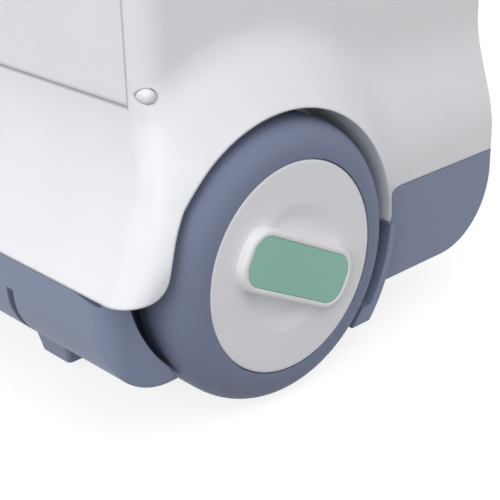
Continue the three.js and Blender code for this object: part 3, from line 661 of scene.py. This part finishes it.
def tub_form(inset, high):
    """The whole tub, with a full corner in front and a tight one behind, cut off at a height"""
    form = joined(
        tub_end(inset, high, front, front_round), tub_end(inset, high, rear, rear_round)
    )
    half = skirt_half - inset
    plan = block(-half, half, front + inset, rear - inset, 0, high)
    corners = edges_between(plan, lambda co: abs(co.y - front - inset) < tolerance)
    upright = [e for e in corners if abs(e.verts[0].co.z - e.verts[1].co.z) > 1]
    bevelled(plan, upright, corner_round - inset, 12)
    return shared(form, plan)


def well_drum(radius, start, end):
    """A drum a little behind the axle's line, because the well leaves room behind the tyre"""
    return rod("x", radius, start, end, axle_y + well_shift, axle_z, 128)


# What stays inside the tub: the wells' drums, the axle's bosses, ribs, the grooves' backs,
# the sleeves' seats and the screws' posts
whole_tub = tub_form(0, tub_top)
drum_radius, boss_radius, boss_end, axle_bore = 59.8, 7.4, 116.8, 3.15
rib_place, rib_top, seat_radius, seat_top = 44, 36, 7.2, 34
groove_x, groove_radius, groove_reach, groove_turn = 91, 30, 52, radians(21)
groove_back, groove_deep, groove_top = 4.4, 9, 49
head_well, head_well_top, screw_bore = 3.55, 49.7, 1.65
foot_x, foot_places, peg_bore, peg_bore_top = 75, (-72.7, 70), 3.15, 28
kept_inside = joined(
    on_both_sides(
        shared(well_drum(drum_radius, well_back - housing_wall, skirt_half), whole_tub.copy())
    ),
    on_both_sides(rod("x", boss_radius, boss_end, well_back - housing_wall, axle_y, axle_z)),
    on_both_sides(
        block(
            rib_place, rib_place + 2, front + front_round, rear - rear_round, underside, rib_top
        )
    ),
    on_both_sides(
        shared(
            block(
                groove_x - groove_back,
                groove_x + groove_back,
                front,
                front + groove_deep,
                underside,
                groove_top,
            ),
            whole_tub.copy(),
        )
    ),
    on_both_sides(
        shared(rod("z", seat_radius, underside, seat_top, sleeve_x, sleeve_y), whole_tub.copy())
    ),
    *(
        on_both_sides(
            shared(rod("z", post_radius, underside, tub_top, screw_x, y), whole_tub.copy())
        )
        for y in screw_places
    ),
)

# The thin wall behind each wheel ends in a thicker foot, and the front rim has a shallow notch
flange_radius, flange_low, flange_top, flange_side = 62.9, 13.2, 50.7, 154.4
flange_foot_top, flange_foot_radius = 20, 55.6
flange = shared(
    rod("x", flange_radius, skirt_half - wall, flange_side, axle_y, axle_z, 128),
    block(well_back, flange_side, axle_y + 2, rear, flange_low, flange_top),
)
flange_foot = cut(
    shared(
        flange.copy(),
        block(skirt_half - wall, flange_side, axle_y, rear, flange_low, flange_foot_top),
    ),
    rod("x", flange_foot_radius, well_back, past_wheel, axle_y, axle_z, 128),
)
notch_start, notch_end, notch_depth, past_rim = 131, 144.5, 2.2, 70
notch = drawn_up(
    [
        [
            (notch_start, y, tub_top),
            (notch_end, y, tub_top - notch_depth),
            (notch_end, y, past_rim),
            (notch_start, y, past_rim),
        ]
        for y in (front - 2, front + 6)
    ]
)
opening_radius, opening_y, opening_z = 59.1, -36, 70
groove_y = front + front_round - groove_reach * cos(groove_turn)
groove_z = underside + front_round - groove_reach * sin(groove_turn)
tub = cut(
    joined(whole_tub, on_both_sides(flange)),
    cut(tub_form(wall, tub_top + 2), kept_inside),
    on_both_sides(well_drum(arch_radius, well_back, past_wheel)),
    on_both_sides(rod("x", opening_radius, well_back, past_wheel, opening_y, opening_z, 128)),
    on_both_sides(notch),
    on_both_sides(rod("x", axle_bore, boss_end - 2, past_wheel, axle_y, axle_z)),
    on_both_sides(rod("x", groove_radius, groove_x - 2, groove_x + 2, groove_y, groove_z, 128)),
    *(on_both_sides(rod("z", head_well, 0, head_well_top, screw_x, y)) for y in screw_places),
    *(
        on_both_sides(rod("z", screw_bore, head_well_top - 2, tub_top + 2.3, screw_x, y))
        for y in screw_places
    ),
    *(on_both_sides(rod("z", peg_bore, 0, peg_bore_top, foot_x, y)) for y in foot_places),
)
tub = joined(tub, on_both_sides(flange_foot))
tub_piece = finished(
    in_metres(tub), "tub", grey_blue_plastic, "frame", crease=28
)
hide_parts("base_tub")

# ---- Cabinet floor and shelf
# A flat plastic plate lies on ledges behind the sill, and a teal tray stands on two more.
# Both are thin mouldings with a fine grain.
inner_plastic = plastic("inner_plastic", (0.58, 0.6, 0.66, 1), 0.5)
teal_plastic = plastic("teal_plastic", (0.315, 0.61, 0.49, 1), 0.42, size=2200.0)
moulded("cabinet_floor", "floor_plate", inner_plastic, "frame")
moulded("shelf", "shelf_tray", teal_plastic, "frame")

# ---- Feet
# Four tapered blocks of the tub's plastic, with soft corners.
# Each is plugged into the tub's underside with a round peg.


def soft_box(half_u, half_v, radius, steps=8):
    """The outline of a rectangle with round corners, as pairs from its centre"""
    pairs = []
    for turn, sign_u, sign_v in ((0, 1, 1), (90, -1, 1), (180, -1, -1), (270, 1, -1)):
        for i in range(steps + 1):
            a = radians(turn + 90 * i / steps)
            u = sign_u * (half_u - radius) + radius * cos(a)
            pairs.append((u, sign_v * (half_v - radius) + radius * sin(a)))
    return pairs


peg_radius, peg_top = 3, 26
hands = (("right", 1), ("left", -1))
for end, middle_y, sole in (("front", foot_places[0], 4.2), ("rear", foot_places[1], 0)):
    for hand, side in hands:
        rings = []
        for z, half_x, half_y, corner in (
            (sole, 8.6, 4.4, 1.6),
            (sole + 0.2, 8.95, 4.75, 1.8),
            (sole + 0.6, 9.2, 5, 2),
            (underside, 12.7, 8.5, 2.4),
        ):
            pairs = soft_box(half_x, half_y, corner)
            rings.append([(side * foot_x + u, middle_y + v, z) for u, v in pairs])
        peg = rod("z", peg_radius, underside - 1, peg_top, side * foot_x, middle_y)
        foot_piece = finished(
            in_metres(joined(drawn_up(rings), peg)),
            f"{end}_{hand}_foot_block",
            grey_blue_plastic,
            "frame",
        )
        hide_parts(f"{end}_foot_{hand}")

# ---- Screws
# Four steel screws come up through the tub into the posts of the shell.
# They hold the two mouldings together. The steel's fine lines run upwards, as on the drawn tubes.
steel = bpy.data.materials.new("steel")
steel.use_nodes = True
steel_tree = steel.node_tree
steel_shader = steel_tree.nodes["Principled BSDF"]
steel_shader.inputs["Metallic"].default_value = 1
steel_shader.inputs["Base Color"].default_value = (0.6, 0.61, 0.63, 1)

drawn, drawn_in, drawn_out = new_group(
    "Drawn Lines",
    [("Stretch", "NodeSocketVector", (1.0, 1.0, 1.0))],
    [("Roughness", "NodeSocketFloat"), ("Height", "NodeSocketFloat")],
)
drawn_place = added(drawn, "ShaderNodeTexCoord")
drawn_stretch = added(drawn, "ShaderNodeVectorMath", operation="MULTIPLY")
drawn_noise = added(drawn, "ShaderNodeTexNoise", {"Scale": 40, "Detail": 4})
drawn_span = added(drawn, "ShaderNodeMapRange", {"To Min": 0.2, "To Max": 0.42})
linked(
    drawn,
    (drawn_place.outputs["Object"], drawn_stretch.inputs[0]),
    (drawn_in.outputs["Stretch"], drawn_stretch.inputs[1]),
    (drawn_stretch.outputs[0], drawn_noise.inputs["Vector"]),
    (drawn_noise.outputs[0], drawn_span.inputs["Value"]),
    (drawn_span.outputs[0], drawn_out.inputs["Roughness"]),
    (drawn_noise.outputs[0], drawn_out.inputs["Height"]),
)
steel_lines = added(steel_tree, "ShaderNodeGroup", node_tree=drawn)
steel_lines.inputs["Stretch"].default_value = (40, 40, 1)
steel_bump = added(steel_tree, "ShaderNodeBump", {"Strength": 0.03, "Distance": 0.0002})
linked(
    steel_tree,
    (steel_lines.outputs["Roughness"], steel_shader.inputs["Roughness"]),
    (steel_lines.outputs["Height"], steel_bump.inputs["Height"]),
    (steel_bump.outputs["Normal"], steel_shader.inputs["Normal"]),
)

for end in ("front", "rear"):
    for hand in ("right", "left"):
        moulded(f"{end}_screw_{hand}", f"{end}_{hand}_tub_screw", steel, "frame")

# ---- Tyres
# A soft grey-blue plastic ring is pressed over each rim. Its outer shoulder rolls over in one full
# curve, its inner shoulder is tight, and a small lip holds the edge of the hub cap.
tyre_plastic = plastic(
    "tyre_plastic", (0.19, 0.222, 0.333, 1), 0.56, size=1700.0, depth=0.035
)


def wheel_sizes(node):
    """A wheel piece's centre on the middle plane, its inner and outer sides and its radius"""
    low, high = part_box(node)
    centre = Vector((0, (low[1] + high[1]) / 2, (low[2] + high[2]) / 2))
    inner, face = sorted((abs(low[0]), abs(high[0])))
    return centre, inner, face, (high[2] - low[2]) / 2


def spun(outline, side, centre, steps=128):
    """A closed form turned about a line along X from (x, radius) pairs, on either side"""
    form = bmesh.new()
    ring = [
        form.verts.new((x * side, centre[1], centre[2] + radius)) for x, radius in outline
    ]
    lines = [form.edges.new(pair) for pair in zip(ring, ring[1:])]
    bmesh.ops.spin(
        form,
        geom=ring + lines,
        cent=centre,
        axis=(1, 0, 0),
        angle=2 * pi,
        steps=steps,
        use_merge=True,
    )
    bmesh.ops.remove_doubles(form, verts=form.verts[:], dist=merge_distance)
    return form


def arc(x, radius, rounding, start, end, steps=8):
    """Points of a round edge between two turns, in (x, radius) pairs"""
    angles = [radians(start + (end - start) * i / steps) for i in range(steps + 1)]
    return [(x + rounding * cos(a), radius + rounding * sin(a)) for a in angles]


rim_seat, cap_seat, lip_depth, inner_round = 0.046, 0.0403, 0.0045, 0.0025
shoulder_width, shoulder_drop, fullness = 0.014, 0.0133, 2 / 2.2
for hand, side in hands:
    centre, inner, face, outer = wheel_sizes(f"tyre_{hand}")
    shoulder = [
        (
            face - shoulder_width + shoulder_width * s**fullness,
            outer - shoulder_drop + shoulder_drop * c**fullness,
        )
        for s, c in quarter(24)
    ]
    outline = (
        [(inner, rim_seat)]
        + arc(inner + inner_round, outer - inner_round, inner_round, 180, 90)
        + shoulder
        + [(face, cap_seat), (face - lip_depth, cap_seat), (face - lip_depth, rim_seat)]
        + [(inner, rim_seat)]
    )
    tyre = finished(
        spun(outline, side, centre),
        f"tyre_ring_{hand}",
        tyre_plastic,
        f"wheel_{hand}",
    )
    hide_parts(f"tyre_{hand}")

# ---- Rims, axle and nuts
# Each rim is a pierced disc behind the cap. It turns on the steel axle, and a pressed steel cap
# holds it there. Both show only from inside the wheel wells.
for hand in ("right", "left"):
    moulded(
        f"rim_{hand}", f"rim_disc_{hand}", inner_plastic, f"wheel_{hand}"
    )
    moulded(f"axle_nut_{hand}", f"axle_cap_{hand}", steel, "frame")
moulded("axle", "axle_rod", steel, "frame")

# ---- Hub caps
# A white disc snaps into the tyre. Its edge is softly rounded, and a shallow dish lies behind the
# badge. It is hollow at the back, with a thin wall.
cap_plastic = plastic("cap_white_plastic", (0.88, 0.88, 0.91, 1), 0.42)
dish_depth, dish_start, dish_run = 0.0013, 0.017, 0.008
disc_radius, disc_round, disc_wall, disc_hollow = 0.04005, 0.001, 0.0022, 0.0378
dish_back, dish_back_start, dish_back_end = 0.0036, 0.019, 0.026
for hand, side in hands:
    centre, back, face, _ = wheel_sizes(f"hub_cap_{hand}")
    slope = [
        (eased(i, 0, 12, face - dish_depth, face), dish_start + dish_run * i / 12)
        for i in range(13)
    ]
    outline = (
        [(face - dish_depth, 0)]
        + slope
        + arc(face - disc_round, disc_radius - disc_round, disc_round, 0, 90)
        + [(back, disc_radius), (back, disc_hollow), (face - disc_wall, disc_hollow)]
        + [(face - disc_wall, dish_back_end)]
        + [(face - dish_back, dish_back_start), (face - dish_back, 0)]
    )
    cap = finished(
        spun(outline, side, centre),
        f"cap_disc_{hand}",
        cap_plastic,
        f"wheel_{hand}",
    )
    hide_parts(f"hub_cap_{hand}")

# ---- Badges
# A white bar with a raised, softly rounded border stands across each cap.
# A smooth teal plate lies in it, a hair lower than the border.
badge_foot, badge_top, badge_edge, pocket_level = 158.7, 163.6, 1.6, 162.6


def badge_form(side, levels):
    """A solid skinned over outlines of the badge, given as (x, drawn in) pairs in millimetres"""
    half_length, half_width, corner, tilt = 29, 12, 9.8, side * radians(28)
    rings = []
    for x, inset in levels:
        pairs = soft_box(half_length - inset, half_width - inset, corner - inset, 12)
        rings.append(
            [
                (
                    side * x,
                    axle_y + u * cos(tilt) + v * sin(tilt),
                    axle_z - u * sin(tilt) + v * cos(tilt),
                )
                for u, v in pairs
            ]
        )
    return in_metres(drawn_up(rings))


border_round = [
    (badge_top - badge_edge + badge_edge * s, badge_edge - badge_edge * c) for s, c in quarter(9)
]
border_inside = [(163.6, 2.2), (163.45, 2.5), (163.2, 2.6), (pocket_level, 2.6)]
plate_levels = [(pocket_level + 0.02, 2.65), (163.2, 2.65), (163.35, 2.75), (163.4, 2.95)]
for hand, side in hands:
    bar_piece = finished(
        badge_form(side, [(badge_foot, 0), *border_round, *border_inside]),
        f"badge_frame_{hand}",
        cap_plastic,
        f"wheel_{hand}",
    )
    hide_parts(f"badge_bar_{hand}")
    plate_piece = finished(
        badge_form(side, plate_levels),
        f"badge_insert_{hand}",
        teal_plastic,
        f"wheel_{hand}",
    )
    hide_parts(f"badge_plate_{hand}")

# ---- Door
# The door is a shallow white tray that fills the front between the body's corners.
# Ribs, bosses for its two hinge pins and a boss for the latch stand inside the tray.
door_low, door_high, door_back = 118.4, 373.4, -66.9
door_edge, door_front, door_round = door_half - 0.2, upper_front, 2.8
inner_edge, before_door, behind_door = door_edge - wall, -80, -60
rib_width, rib_depth, rib_end, ribs_low, ribs_high = 2, 5, 130, 120, 372
pin_boss, pin_boss_start, pin_bore_start, pin_bore_end = 4.15, 117, 116, 133
latch_boss, latch_boss_start, latch_bore, latch_z = 7, -76, 3.15, 353
outer_door = block(-door_edge, door_edge, door_front, door_back, door_low, door_high)
lower_front = edges_between(
    outer_door,
    lambda co: abs(co.y - door_front) < tolerance and co.z < door_low + tolerance,
)
bevelled(outer_door, lower_front, door_round, 8)
inner_door = block(
    -inner_edge, inner_edge, door_front + wall, door_back + 2, door_low + wall, door_high - wall
)
ribs = joined(
    *(
        block(x, x + rib_width, before_door, behind_door, ribs_low - 1, ribs_high + 1)
        for x in (-80, 78)
    ),
    *(
        block(-rib_end, rib_end, before_door, behind_door, z, z + rib_width)
        for z in (200, 290)
    ),
)
door_fill = joined(
    shared(
        block(
            -rib_end,
            rib_end,
            door_front + wall,
            door_front + wall + rib_depth,
            ribs_low,
            ribs_high,
        ),
        ribs,
    ),
    on_both_sides(rod("x", pin_boss, pin_boss_start, door_edge, hinge_y, hinge_z)),
    rod("y", latch_boss, latch_boss_start, door_back, 0, latch_z),
)
door = cut(
    outer_door,
    cut(inner_door, door_fill),
    on_both_sides(rod("x", pin_bore, pin_bore_start, pin_bore_end, hinge_y, hinge_z)),
    rod("y", latch_bore, before_door, behind_door, 0, latch_z),
)
door_piece = finished(
    in_metres(door), "door_tray", white_plastic, "door", crease=28
)
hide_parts("front_door")

# ---- Hinge pins
# A white plastic pin with a low domed head is pushed in from either side, through the body's corner
# and into the door's boss.
pin_end, pin_taper, pin_radius = 0.1173, 0.0005, 0.0025
head_start, head_radius, dome_start, dome_height = 0.1318, 0.0026, 0.1364, 0.0036
pin_tip, dome_fullness = 0.14, 0.6
for hand, side in hands:
    outline = [
        (pin_end, 0),
        (pin_end, pin_radius - pin_taper),
        (pin_end + pin_taper, pin_radius),
        (head_start, pin_radius),
        (head_start, head_radius),
        *(
            (dome_start + dome_height * s, head_radius * c**dome_fullness)
            for s, c in quarter(9)[:-1]
        ),
        (pin_tip, 0),
    ]
    pin_piece = finished(
        spun(outline, side, Vector((0, hinge_y / 1000, hinge_z / 1000)), 64),
        f"pin_{hand}",
        white_plastic,
        "frame",
    )
    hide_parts(f"hinge_pin_{hand}")

# ---- Latch
# A small teal bar on the door's front turns a tongue behind the lip over the doorway.
moulded("latch_knob", "knob", teal_plastic, "latch")
moulded("latch_tongue", "tongue", inner_plastic, "latch")

# ---- Pull-out handle
# Two steel tubes slide in plastic sleeves behind the shelf and carry a grip that rests in the top.
# A teal button in the middle of the grip is pressed to release it.
for hand in ("right", "left"):
    moulded(f"handle_sleeve_{hand}", f"sleeve_{hand}", inner_plastic, "frame")
    moulded(f"handle_tube_{hand}", f"tube_{hand}", steel, "handle")
moulded("handle_grip", "grip", grey_blue_plastic, "handle")
moulded("handle_button", "button_cap", teal_plastic, "button")
